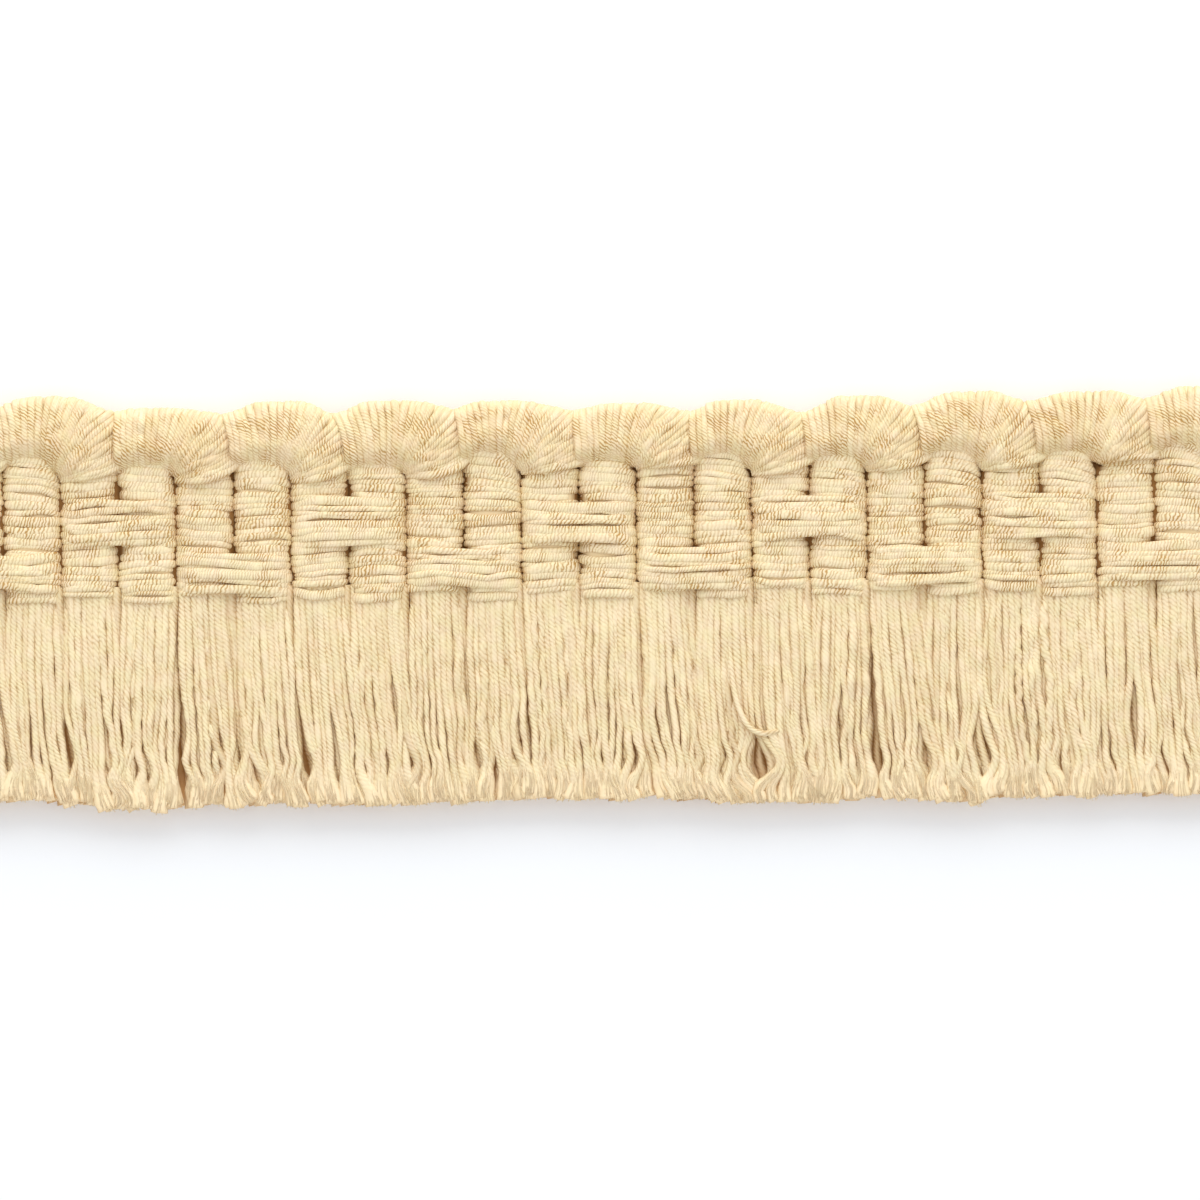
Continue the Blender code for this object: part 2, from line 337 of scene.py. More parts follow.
def tubes(paths, across, wide, thick, sides, twist, shade, fray=0.0, phase=0.0):
    """Tubes along many paths at once.

    Each ring stands square to its path, wide mm to either side and thick mm up and down. across
    is the direction that stays sideways to the yarn. The plies, which wind round each other once
    every twist mm, are drawn by the material from the turns.
    """
    paths = np.asarray(paths, float)
    along, side, up = frames_along(paths, across)
    turns = along / np.reshape(twist, (-1, 1)) + np.reshape(phase, (-1, 1))
    angles = round_angles(sides)
    out = (np.broadcast_to(wide, along.shape)[..., None] * np.sin(angles))[..., None]
    lift = (np.broadcast_to(thick, along.shape)[..., None] * np.cos(angles))[..., None]
    rings = paths[:, :, None] + out * side[:, :, None] + lift * up[:, :, None]
    return loft(rings, along, angles / (2 * np.pi), turns, np.reshape(shade, (-1, 1)), fray)


def joined(skins):
    """One skin of several."""
    points, corners, first = [], [], 0
    for skin in skins:
        points.append(skin.points)
        corners.append(skin.corners + first)
        first += len(skin.points)
    rest = [np.concatenate([getattr(skin, name) for skin in skins]) for name in Skin._fields[2:]]
    return Skin(np.concatenate(points), np.concatenate(corners), *rest)


def new_object(name, data):
    """An object of that data, in the scene."""
    thing = bpy.data.objects.new(name, data)
    bpy.context.scene.collection.objects.link(thing)
    return thing


def add_piece(name, skins, material, slot, nodes):
    """Write skins into one mesh object in metres that rides on the frame and replaces nodes."""
    skin = joined(skins)
    mesh = bpy.data.meshes.new(name)
    mesh.vertices.add(len(skin.points))
    mesh.vertices.foreach_set("co", (skin.points * MM).astype(np.float32).ravel())
    mesh.loops.add(len(skin.corners))
    mesh.loops.foreach_set("vertex_index", skin.corners.astype(np.int32))
    mesh.polygons.add(len(skin.sizes))
    starts = np.concatenate([[0], np.cumsum(skin.sizes)[:-1]])
    mesh.polygons.foreach_set("loop_start", starts.astype(np.int32))
    mesh.uv_layers.new(name="yarn").data.foreach_set("uv", skin.uv.astype(np.float32).ravel())
    for field in FIELDS:
        values = mesh.attributes.new(field, "FLOAT", "POINT")
        values.data.foreach_set("value", getattr(skin, field).astype(np.float32))
    mesh.update(calc_edges=True)
    mesh.shade_smooth()
    mesh.materials.append(material)
    piece = new_object(name, mesh)
    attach(piece, "root")
    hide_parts(*nodes)
    return piece


def set_inputs(node, inputs):
    """Set a node's inputs, in order or by name or number: sockets are linked, other values set."""
    for key, value in inputs.items() if isinstance(inputs, dict) else enumerate(inputs):
        socket = node.inputs[key]
        if isinstance(value, bpy.types.NodeSocket):
            node.id_data.links.new(value, socket)
        else:
            socket.default_value = (*value, 1.0) if socket.type == "RGBA" else value


def add_node(tree, kind, inputs=(), output=0, **settings):
    """Add a shader node with its settings and its links, and return one of its outputs."""
    node = tree.nodes.new("ShaderNode" + kind)
    for name, value in settings.items():
        setattr(node, name, value)
    set_inputs(node, inputs)
    return node.outputs[output]


def new_material(name):
    """A new material, its Principled shader, and a call that adds nodes to it."""
    material = bpy.data.materials.new(name)
    material.use_nodes = True
    material.cycles.emission_sampling = "NONE"
    tree = material.node_tree
    return material, tree.nodes["Principled BSDF"], partial(add_node, tree)


# Settings that nodes share. A colour mix takes its share at input 0 and its colours at 6 and 7
TIMES = {"operation": "MULTIPLY"}
TIMES_ADD = {"operation": "MULTIPLY_ADD"}
MINUS = {"operation": "SUBTRACT"}
COSINE = {"operation": "COSINE"}
MIX = {"output": 2, "data_type": "RGBA", "clamp_factor": True}

# Noise over the yarns, size in mm and detail: swerves of the furrows, clusters where the painted
# furrow shade is darker, cloudy patches, patches of dye, and grain
YARN_PATTERNS = ((0.769, 1.0), (3.333, 2.0), (4.348, 2.0), (2.381, 4.0), (0.4167, 2.0))

# The core: size of its grain, depth of its grain, and how far below the ribs' crowns its painted
# shade is dark and where it turns as light as the warps, in mm
CORE_GRAIN = 1.111
CORE_DEPTH = 0.2
CORE_DARK = 1.5
CORE_LIGHT = 0.6

# Patterns along a yarn: length in mm of a spot pressed flat and of a fibre, how many fibres run
# round it, and how far its shade moves it in each, so that no two yarns are alike
PRESSED_LENGTH = 2.5
PRESSED_STEP = 41.0
FIBRE_LENGTH = 1.667
FIBRES_ROUND = 22.0
FIBRE_STEP = 23.0

# How sharp the furrows are, and how deep they look in mm
FURROW_SHARPNESS = 1.8
FURROW_DEPTH = 0.12

# Looks of a yarn: its material's name, number of plies, swerve of the furrows in radians, how dark
# their painted shade is, how much of them shows on the yarn's crown, how much darker they are in
# clusters, how dark the painted shade on the seams between yarns is, how far the tone goes to tan, how
# pale and open the cut ends are, partly painted light, and how deep in painted shade the yarn lies
Finish = namedtuple("Finish", "name plies swerve furrows crown clustered seams warmth ends shaded")


def yarn_material(finish):
    """Mercerised cotton yarn of several plies.

    Combed cotton, twisted twice and mercerised, has a soft silky shine along the plies. Painted shade
    darkens the spiral furrow wherever two plies meet, more in some clusters than others, and the
    seams where a yarn's side turns down beside the next. Dye takes a little unevenly, so patches are
    warmer or yellower. Painted light: every yarn has a faint warm brown emission, stronger on the
    inner yarns and at the cut ends, standing in for light passed on through the cotton.
    """
    colors = bpy.context.scene.fringe_colors
    material, shader, add = new_material(finish.name)

    # U runs once round the yarn from its top, and V is the length along it in mm
    split = add("SeparateXYZ", (add("UVMap", uv_map="yarn"),)).node
    around, along = split.outputs["X"], split.outputs["Y"]
    shade, fray, turns = [add("Attribute", output="Fac", attribute_name=name) for name in FIELDS]
    place = add("TexCoord", output="Object")
    swerve, clusters, clouds, dye, grain = [
        add("TexNoise", {"Vector": place, "Scale": 1 / (size * MM), "Detail": detail})
        for size, detail in YARN_PATTERNS
    ]

    # Furrow: (0.5 - cos(angle) / 2) ** sharpness, with one turn of the angle for each ply, clearest
    # on the yarn's flanks, pressed flat in spots, and gone where the plies have come apart at the cut
    # ends and over the loops' crests
    angle = add("Math", (add("Math", (around, turns), **MINUS), FULL_TURN * finish.plies), **TIMES)
    angle = add("Math", (add("Math", (swerve, 0.5), **MINUS), finish.swerve, angle), **TIMES_ADD)
    furrow = add("Math", (add("Math", (angle,), **COSINE), -0.5, 0.5), **TIMES_ADD)
    furrow = add("Math", (furrow, FURROW_SHARPNESS), operation="POWER")
    spot = add("CombineXYZ", (shade, along))
    spot = add("VectorMath", (spot, (PRESSED_STEP, 1 / PRESSED_LENGTH, 0.0)), **TIMES)
    spot = add("TexNoise", {"Vector": spot, "Scale": 1.0, "Detail": 1.0})
    flank = add("Math", (add("Math", (around, 2 * FULL_TURN), **TIMES),), **COSINE)
    flank = add("MapRange", (flank, 0.95, -0.1))
    flank = add("Math", (flank, 1.0 - finish.crown, finish.crown), **TIMES_ADD)
    for share in (add("MapRange", (spot, 0.2, 0.5)), add("Math", (1.0, fray), **MINUS), flank):
        furrow = add("Math", (furrow, share), **TIMES)

    # Painted shade in the furrows, darker in clusters
    clusters = add("MapRange", (clusters, 0.44, 0.64))
    furrow_shade = add("Math", (clusters, 0.6 * finish.clustered, 0.5), **TIMES_ADD)
    furrow_shade = add("Math", (add("Math", (furrow, furrow_shade), **TIMES), finish.furrows), **TIMES)

    # Painted shade at the seams, where a yarn's side turns down beside the next one
    seam_shade = add("Math", (add("Math", (around, FULL_TURN), **TIMES),), **COSINE)
    seam_shade = add("Math", (add("MapRange", (seam_shade, 0.90, 0.50)), finish.seams), **TIMES)

    # Tone, from light to tan: the yarn's own shade, cloudy patches, fibres that run along the yarn
    # and show most where its plies have come apart, and a fine grain
    fibres = add("CombineXYZ", (around, along, shade))
    fibres = add("VectorMath", (fibres, (FIBRES_ROUND, 1 / FIBRE_LENGTH, FIBRE_STEP)), **TIMES)
    fibres = add("TexNoise", {"Vector": fibres, "Scale": 1.0, "Detail": 1.0})
    streaks = add("Math", (fray, 1.8, 1.3), **TIMES_ADD)
    tone = add("Math", (shade, 0.18, 0.35 + finish.warmth), **TIMES_ADD)
    for pattern, amount in ((clouds, 1.1), (fibres, streaks), (grain, 1.3)):
        tone = add("Math", (add("Math", (pattern, 0.5), **MINUS), amount, tone), **TIMES_ADD)
    color = add("Mix", {0: tone, 6: colors.light, 7: colors.tan}, **MIX)
    dye = add("Mix", {0: add("MapRange", (dye, 0.38, 0.62)), 6: colors.rose, 7: colors.straw}, **MIX)
    veils = [(0.30, dye), (seam_shade, colors.groove), (furrow_shade, colors.groove)]

    # Painted light: every yarn has a faint emission in the core's brown, more the deeper in painted shade
    # it lies. Cut ends: paler, partly as loose fibre is and partly painted light against the shade of
    # their downturned tips, with painted shade on their very edge, and a stronger, paler emission there,
    # painted light for light passing through the loose fibres
    glow_color = colors.core
    glow = 0.06 + 0.25 * finish.shaded
    if finish.ends:
        rim_shade = add("Math", (add("MapRange", (fray, 0.98, 1.0)), 0.25 * finish.ends), **TIMES)
        veils += [(add("Math", (fray, finish.ends), **TIMES), colors.cut), (rim_shade, colors.groove)]
        opened = add("Math", (add("Math", (fray, 2.0), operation="POWER"), finish.ends), **TIMES)
        lit = add("Math", (opened, 0.35), **TIMES)
        glow_color = add("Mix", {0: lit, 6: colors.core, 7: colors.tan}, **MIX)
        glow = add("Math", (opened, 0.55, glow), **TIMES_ADD)
    # Painted shade: a yarn deep in the skirt is veiled towards the core's brown
    if finish.shaded:
        veils.append((finish.shaded, colors.core))
    for share, veil in veils:
        color = add("Mix", {0: share, 6: color, 7: veil}, **MIX)

    # Relief: fibres and grain stand up, and furrows lie deep
    raised = add("Math", (fibres, add("Math", (fray, 1.6, 0.8), **TIMES_ADD)), **TIMES)
    height = add("Math", (grain, 0.5, add("Math", (raised, furrow), **MINUS)), **TIMES_ADD)
    relief = add("Bump", {"Height": height, "Strength": 0.6, "Distance": FURROW_DEPTH * MM})
    surface = {
        "Base Color": color,
        "Normal": relief,
        "Roughness": 0.7,
        "Specular IOR Level": 0.3,
        "Sheen Weight": 0.12,
        "Sheen Roughness": 0.4,
        "Sheen Tint": colors.sheen,
        "Emission Color": glow_color,
        "Emission Strength": glow,
    }
    set_inputs(shader, surface)
    return material


def core_material():
    """Packed inner yarns, seen only down the gaps: the same cotton, matt and in shade.

    Its brown is painted shade: close under the warps it is as light as they are, and it darkens down
    the grooves; its faint brown emission is painted light.
    """
    colors = bpy.context.scene.fringe_colors
    material, shader, add = new_material("packed inner cotton")
    place = add("TexCoord", output="Object")
    grain = add("TexNoise", {"Vector": place, "Scale": 1 / (CORE_GRAIN * MM), "Detail": 3.0})
    deep = tuple(0.6 * value for value in colors.core)
    color = add("Mix", {0: add("MapRange", (grain, 0.3, 0.8)), 6: deep, 7: colors.core}, **MIX)
    # Painted shade: dark low in the grooves, and as light as the warps' tan near the ribs' crowns
    height = add("SeparateXYZ", (place,), "Z")
    crown = add("MapRange", (height, (RIB_CROWN - CORE_DARK) * MM, (RIB_CROWN - CORE_LIGHT) * MM))
    surface = {
        "Base Color": add("Mix", {0: crown, 6: color, 7: colors.tan}, **MIX),
        "Normal": add("Bump", {"Height": grain, "Strength": 0.5, "Distance": CORE_DEPTH * MM}),
        "Roughness": 0.85,
        # Painted light: a faint brown emission
        "Emission Color": colors.core,
        "Emission Strength": 0.04,
    }
    set_inputs(shader, surface)
    return material


# Yarns of the heading, of the turned loops and of the cut skirt
WOVEN = Finish("mercerised cotton, woven", 2, 9.0, 0.90, 0.85, 1.6, 0.05, -0.38, 0.0, 0.0)
TURNED = Finish("mercerised cotton, turned", 5, 7.0, 0.95, 0.75, 2.0, 0.22, 0.36, 0.0, 0.0)
CUT = Finish("mercerised cotton, cut", 5, 5.0, 0.85, 0.5, 0.6, 0.30, -0.15, 0.6, 0.0)


def made_once(finish, **changes):
    """The material of a finish with some of its looks changed, made at its first use."""
    finish = finish._replace(**changes)
    return bpy.data.materials.get(finish.name) or yarn_material(finish)


def loop_yarn():
    """Yarns of the turned loops, with the plies that the panel asks for."""
    return made_once(TURNED, plies=bpy.context.scene.fringe_sizes.plies)


def skirt_yarn(shaded=0.0):
    """Yarns of the cut skirt; the inner ones get painted shade, browner, and painted light, a stronger
    emission.
    """
    name = f"{CUT.name}, {round(100 * shaded)} percent shaded"
    return made_once(CUT, name=name, plies=bpy.context.scene.fringe_sizes.plies, shaded=shaded)


# Heading

# Heights in mm: the grooves' floor, the back warps' middles, and how far the floats stand above the
# ribs; then half a warp's thickness and the length of its twist
GROOVE_FLOOR = 2.2
BACK_Z = 0.42
FLOAT_LIFT = 0.50
WARP_HALF = 0.28
WARP_TWIST = 0.95

# Rows of warps, in mm: how far above the foot and below the head they end on a rib that leads to a
# loop's leg or to its lobe, and the spans of the floats above the foot
FOOT_OF_LEG = 0.65
FOOT_OF_LOBE = 1.6
HEAD_OF_LEG = -0.1
HEAD_OF_LOBE = 0.6
LOW_FLOATS = (2.2, 7.8)
MIDDLE_FLOATS = (8.4, 14.8)

# How far a warp's ends stop short of its groove, in mm: as a rule, with slow waves along the groove
# and an unevenness of their own, within limits; then more beside a loop's eye and a float's edge,
# and at least this much at the trimming's two ends. The last row is for the floats' own ends
END_GAP = 0.08
END_GAP_WAVES = 0.34
END_GAP_OWN = (-0.14, 0.16)
END_GAP_LIMITS = (-0.10, 0.58)
EYE_GAP = 0.30
FLOAT_EDGE_GAP = 0.28
LEAST_END_GAP = 0.3
FLOAT_END_GAP = (-0.05, 0.45)

# How much lower the back and the core end at the head on a rib that leads to a lobe, in mm
LOBE_LOWER = 1.2

# Shares of the usual row that a row may be wide, and how much wider than its row a warp is
ROW_SHARES = (0.65, 1.35)
WARP_OVERLAP = (1.2, 1.55)

# Arches, floats and back warps: stations along a path, and the power that says how square it is in
# plan; then the power of them all in height
ARCH = (16, 4.0)
FLOAT = (28, 6.5)
BACK = (12, 4.2)
HEIGHT_POWER = 2.6

# The core's shape: stations in a rib, how far its top lies inside the ribs' crowns, and how far its
# underside lies from the grooves' floor and from the surface, in mm. Its ring in the YZ plane says
# whether a point is at the head, its step aside in mm, and its level from the underside to the top
CORE_STATIONS = 14
CORE_INSET = 0.40
CORE_REST = 0.5
CORE_RING = (
    (0, 0.0, 0.5), (0, 0.0, 0.8), (0, 0.4, 1.0), (1, -0.4, 1.0),
    (1, 0.0, 0.8), (1, 0.0, 0.5), (1, -0.4, 0.0), (0, 0.4, 0.0),
)

# Warps over a rib or a pair of ribs: X of both ends, Y on the rib, how far the ends are pulled
# aside, how far the rows rise towards a loop's leg, height of the crown, bow, shade and half width
Warps = namedtuple("Warps", "left right y pull lift crown bow shade width")


def groups_of(count, choices, rng):
    """Number of the group that each of count rows belongs to."""
    ends = np.cumsum(rng.choice(choices, size=count))
    return np.searchsorted(ends, np.arange(count), side="right")


def rows_between(low, high, sizes, rng):
    """Middles and half widths of rows of uneven width that fill the span from low to high."""
    pitch = (HEAD - FOOT) / sizes.warp_rows
    widths = rng.uniform(*ROW_SHARES, max(round((high - low) / pitch), 1))
    widths = widths * (high - low) / widths.sum()
    return low + np.cumsum(widths) - widths / 2, widths / 2


def float_span(rib):
    """Lowest and highest place of the floats over the pair of ribs that starts with this one."""
    low_pair = ((rib + 1) // 2) % 2
    return LOW_FLOATS if low_pair else MIDDLE_FLOATS


def rib_warps(rib, sizes, rng):
    """Warps that arch over one rib.

    Each end stops short of its groove by a gap that waves along the groove and widens beside the
    loop's eye and the floats' edges. Rows rise towards a loop's leg, and the lowest sink a little.
    """
    crest = CRESTS[rib // 2]
    lobe = rib % 2
    low = FOOT + (FOOT_OF_LOBE if lobe else FOOT_OF_LEG)
    y, half = rows_between(low, HEAD - (HEAD_OF_LOBE if lobe else HEAD_OF_LEG), sizes, rng)
    own = rng.normal(0, 1, (4, len(y)))
    gap = np.stack([END_GAP + END_GAP_WAVES * waves(y, (2.9, 4.7, 7.1), rng) for _ in range(2)])
    gap = np.clip(gap + rng.uniform(*END_GAP_OWN, (2, len(y))), *END_GAP_LIMITS)
    gap[1 - lobe] += EYE_GAP * smooth((y - HEAD + 3.0 + lobe) / 2.5)
    for edge in float_span(rib if lobe else rib - 1):
        gap[lobe] += FLOAT_EDGE_GAP * np.exp(-(((y - FOOT - edge) / 0.8) ** 2))
    left = LEFT + rib * PITCH
    sink = 0.20 * smooth(1 - (y - low) / 1.6)
    return Warps(
        left=left + np.maximum(gap[0], LEAST_END_GAP if rib == 0 else -1),
        right=left + PITCH - np.maximum(gap[1], LEAST_END_GAP if rib == RIBS - 1 else -1),
        y=y,
        pull=0.20 * own[0],
        lift=smooth((y - FOOT - 9) / (HEAD - FOOT - 9)) * (0.0 if lobe else crest.shoulder),
        crown=RIB_CROWN - WARP_HALF + 0.05 * own[1] - sink,
        bow=0.20 * own[2],
        shade=own[3],
        width=half * rng.uniform(*WARP_OVERLAP, len(y)),
    )


def float_warps(rib, sizes, rng):
    """Warps that float over the pair of ribs that starts with this one.

    The block stands highest in its middle row, and its outer rows are pulled together at the ends.
    """
    low, high = FOOT + np.array(float_span(rib)) + rng.normal(0, 0.25, 2)
    y, half = rows_between(low, high, sizes, rng)
    own = rng.normal(0, 1, (4, len(y)))
    gap = rng.uniform(*FLOAT_END_GAP, (2, len(y)))
    aside = (y - (low + high) / 2) / (high - low)
    left = LEFT + rib * PITCH
    return Warps(
        left=left + gap[0],
        right=left + 2 * PITCH - gap[1],
        y=y,
        pull=0.24 * own[0] + 0.5 * aside,
        lift=0.0 * y,
        crown=RIB_CROWN - WARP_HALF + FLOAT_LIFT * (1 - 1.2 * aside**2) + 0.07 * own[1],
        bow=0.26 * own[2] + 0.3 * rng.normal() * np.abs(aside),
        shade=own[3],
        width=half * rng.uniform(*WARP_OVERLAP, len(y)),
    )


def stacked(parts):
    """Several sets of warps as one."""
    return Warps(*(np.concatenate(fields) for fields in zip(*parts)))


def warp_paths(warps, stations, square, seed):
    """Paths of warps that come out of one groove, lie flat over the ribs and dive into the next.

    With t from -90 to 90 degrees each is a superellipse: the place p across runs as |sin t| **
    (2 / square), and z = floor + (crown - floor) * |cos t| ** (2 / HEIGHT_POWER). Y is the row,
    pulled aside in the grooves, bowed by sin(pi p), raised over a loop's leg by 1 - 1.5 p ** 4,
    and carried by two smooth ripples over the whole heading.
    """
    rng = np.random.default_rng(seed)
    t = np.linspace(-np.pi / 2, np.pi / 2, stations)
    p = 0.5 + 0.5 * np.sign(t) * np.abs(np.sin(t)) ** (2 / square)
    rise = np.abs(np.cos(t)) ** (2 / HEIGHT_POWER)
    column = Warps(*(field[:, None] for field in warps))
    x = column.left + (column.right - column.left) * p
    y = column.y + column.pull * (1 - smooth(rise / 0.85))
    y = y + column.bow * np.sin(np.pi * p) + column.lift * (1 - 1.5 * p**4)
    sway = 0.20 * ripples(x, column.y, 24.0, rng) + 0.07 * ripples(x, column.y, 8.0, rng)
    z = GROOVE_FLOOR + (column.crown - GROOVE_FLOOR) * rise
    z = z + 0.08 * ripples(x, column.y, 9.0, rng) * rise
    z = z + wriggle(x, 0.035, (2.5, 5.0), rng) * rise
    y = y + (wriggle(x, 0.06, (3.0, 6.0), rng) + wriggle(x, 0.03 * square, (9.0, 17.0), rng)) * rise
    return np.stack([x, y + sway, z], axis=-1), rise


def make_heading_warps(sizes):
    """Front of the woven band: arches over ribs, and floats that bridge pairs of ribs."""
    rng = np.random.default_rng(sizes.seed + 1)
    arches, floats = [], []
    for rib in range(RIBS):
        arches.append(rib_warps(rib, sizes, rng))
        if rib % 2 and rib < RIBS - 1:
            floats.append(float_warps(rib, sizes, rng))
    skins = []
    for parts, form in ((arches, ARCH), (floats, FLOAT)):
        warps = stacked(parts)
        paths, rise = warp_paths(warps, *form, sizes.seed + 6)
        count = len(paths)
        wide = warps.width[:, None] * (0.55 + 0.45 * smooth(rise / 0.9))
        thick = WARP_HALF * rng.uniform(0.92, 1.06, (count, 1))
        twist = WARP_TWIST * rng.uniform(0.8, 1.25, count)
        phase = rng.uniform(0, 1, count)
        skins.append(tubes(paths, (0, 1, 0), wide, thick, 8, twist, warps.shade, phase=phase))
    return skins


def make_heading_back(sizes):
    """Back of the woven band: a plain row of arches that lie flat on the surface."""
    rng = np.random.default_rng(sizes.seed + 2)
    backs = []
    for rib in range(RIBS):
        y, half = rows_between(FOOT + 0.3, HEAD - 0.2 - LOBE_LOWER * (rib % 2), sizes, rng)
        left = LEFT + rib * PITCH + np.full(len(y), LEAST_END_GAP)
        right = left + PITCH - 2 * LEAST_END_GAP
        own = rng.normal(0, 1, (2, len(y)))
        backs.append(Warps(left, right, y, 0 * y, 0 * y, BACK_Z + 0 * y, 0.08 * own[0], own[1], half))
    warps = stacked(backs)
    paths, rise = warp_paths(warps, *BACK, sizes.seed + 6)
    paths[..., 2] = np.maximum(paths[..., 2], BACK_Z - 0.02)
    wide = warps.width[:, None] * (0.6 + 0.4 * rise)
    phase = rng.uniform(0, 1, len(paths))
    # Run backwards, the tubes turn their tops, which have more sides, to the surface
    paths, wide = paths[:, ::-1], wide[:, ::-1]
    return [tubes(paths, (0, 1, 0), wide, BACK_Z, 6, WARP_TWIST, warps.shade, phase=phase)]


def make_heading_core():
    """Packed weft ribs inside the warps: one slab, rounded over each rib.

    At station x the ring in the YZ plane is a flat box with bevelled ends. Its top is floor +
    (crown - floor) * (1 - |2 p - 1| ** 4) ** (1 / HEIGHT_POWER), with p the share across the rib,
    and its underside mirrors that, from CORE_REST under that floor to CORE_REST above the surface.
    """
    stations = RIBS * CORE_STATIONS + 1
    x = np.linspace(LEFT + LEAST_END_GAP, LEFT + LENGTH - LEAST_END_GAP, stations)
    p = (x - LEFT) / PITCH % 1.0
    rise = (1 - np.abs(2 * p - 1) ** 4) ** (1 / HEIGHT_POWER)
    top = GROOVE_FLOOR + (RIB_CROWN - CORE_INSET - GROOVE_FLOOR) * rise
    low = GROOVE_FLOOR - CORE_REST + (CORE_REST - GROOVE_FLOOR + CORE_REST) * rise
    lobe = np.floor((x - LEFT) / PITCH) % 2
    foot = FOOT + FOOT_OF_LEG + 0.5 + (FOOT_OF_LOBE - FOOT_OF_LEG) * lobe
    head = HEAD - 0.3 - LOBE_LOWER * lobe
    at_head, step, level = np.array(CORE_RING).T
    rings = np.empty((1, stations, len(step), 3))
    rings[..., 0] = x[None, :, None]
    rings[..., 1] = foot[:, None] + (head - foot)[:, None] * at_head + step
    rings[..., 2] = low[None, :, None] + (top - low)[None, :, None] * level
    along = (x - x[0])[None]
    laps = np.arange(len(step)) / len(step)
    return [loft(rings[:, :, ::-1], along, laps, 0 * along, 0.0, 0.0)]


# Loops

# Stations along a yarn, how far round its turn it goes as a share of half a turn, how far its middle
# lies inside the loop's surface and how much deeper the second layer lies, in mm, how flat a yarn is,
# the shade of the two outermost yarns, and the jitter of a path's bends
LOOP_STATIONS = 36
LOOP_BACK = 0.985
LOOP_INSET = 0.46
SECOND_LAYER = 0.6
LOOP_FLATNESS = 0.7
OUTER_SHADE = -3.0
BEND_JITTER = 0.012

# Size in mm of a loop's square along and up, and of a yarn's way over it
SQUARE_ALONG = 8.2
SQUARE_UP = 8.0
WAY_LENGTH = 9.0

# Tables over a loop: how close its yarns stand, how much of the shoulder's rise each place of the
# root has, and how far in mm the root lies under the heading's edge
YARN_SPREAD = ((0, 0.43, 1), (0, 0.54, 1))
SHOULDER_RISE = ((-1, -0.7, -0.3, 0.05, 0.5), (0.6, 1, 0.9, -0.2, 0))
ROOT_DEPTH = ((-0.2, 0.05, 0.4), (1.0, 0.5, 0.2))

# How far below its root, on its square, a loop's right lobe hangs
LOBE_HANG = 0.24


def loop_place(u, v, number):
    """Place on the plane of a point of a loop's square, u along it and v up it.

    X runs from the loop's pitch at its root to the notches of its crest as v ** 3, and Y is v
    times the crest's height there, a soft step from the notch to the peak.
    """
    this, after = CRESTS[number], CRESTS[number + 1]
    left, peak, right = photo_x(this.notch_px), photo_x(this.peak_px), photo_x(after.notch_px)
    up = np.clip(v, 0, 1)
    root = LEFT + (2 * number + 1) * PITCH + u * PITCH
    crest = (left + right) / 2 + u * (right - left) / 2
    aside = np.where(crest < peak, (peak - crest) / (peak - left), (crest - peak) / (right - peak))
    notch = np.where(crest < peak, this.notch, after.notch)
    height = notch + (this.peak - notch) * smooth(CREST_STEEP * (1 - aside))
    root_y = np.interp(u, *SHOULDER_RISE) * this.shoulder - np.interp(u, *ROOT_DEPTH)
    below = np.where(v < 0, v * this.dip / LOBE_HANG, 0.0)
    y = HEAD + root_y * (1 - up) + below + up * (height - LOOP_INSET)
    return root + (crest - root) * up**3, y


def loop_paths(number, count, offset, inset, rng):
    """Paths of a loop's yarns, from the heading over its face and round to its back.

    In plan each yarn follows a cubic Bezier curve in the loop's square, at the share sin(a) **
    0.9 of its way. Its height is the middle plus half the thickness times cos(a) ** 0.7, as a
    goes from 0 to 177 degrees, so past 90 degrees it comes back behind itself. Near its root the
    height is less, where the bundle is held by the heading.
    """
    share = np.interp(np.linspace(offset, 1 - offset, count), *YARN_SPREAD)
    shares = [row.share for row in LOOP_FAN]
    stops = []
    for stop in ("root", "out", "in", "end"):
        jitter = rng.normal(0, BEND_JITTER, (2, count))
        tables = [[getattr(row, stop + axis) for row in LOOP_FAN] for axis in ("_x", "_y")]
        bend = [np.interp(share, shares, table) + moved for table, moved in zip(tables, jitter)]
        stops.append(np.stack(bend, axis=-1)[:, None])
    a = np.linspace(0.0, np.pi * LOOP_BACK, LOOP_STATIONS)
    way = (np.sin(a) ** 0.9)[None, :, None]
    weights = ((1 - way) ** 3, 3 * (1 - way) ** 2 * way, 3 * (1 - way) * way**2, way**3)
    square = sum(weight * stop for weight, stop in zip(weights, stops))
    x, y = loop_place(square[..., 0], square[..., 1], number)

    # Height: lower where the heading holds the bundle, and towards the loop's two sides
    share = share[:, None]
    held = 0.30 + 0.10 * smooth((share - 0.5) / 0.5)
    full = held + (1 - held) * smooth(way[..., 0] / 0.32)
    side = 0.95 + 0.05 * smooth(share / 0.10) - 0.16 * smooth((share - 0.72) / 0.28)
    turn = np.sign(np.cos(a)) * np.abs(np.cos(a)) ** 0.7
    half = LOOP_TOP / 2 - LOOP_INSET - inset
    z = LOOP_TOP / 2 + half * turn * np.where(turn > 0, full * side, 1.0)
    along = WAY_LENGTH * way[..., 0] + 0 * share
    z = z + rng.normal(0, 0.03, (count, 1)) * np.sin(a) + wriggle(along, 0.09, (2.2, 4.5), rng)
    x = x + wriggle(along, 0.06, (3.0, 7.0), rng)

    # The direction square to the curve in plan stays sideways to the yarn
    ahead = [second - first for first, second in zip(stops, stops[1:])]
    run = (1 - way) ** 2 * ahead[0] + 2 * (1 - way) * way * ahead[1] + way**2 * ahead[2]
    across = np.stack([-run[..., 1] * SQUARE_UP, run[..., 0] * SQUARE_ALONG, 0 * run[..., 0]], axis=-1)
    return np.stack([x, y, z], axis=-1), across


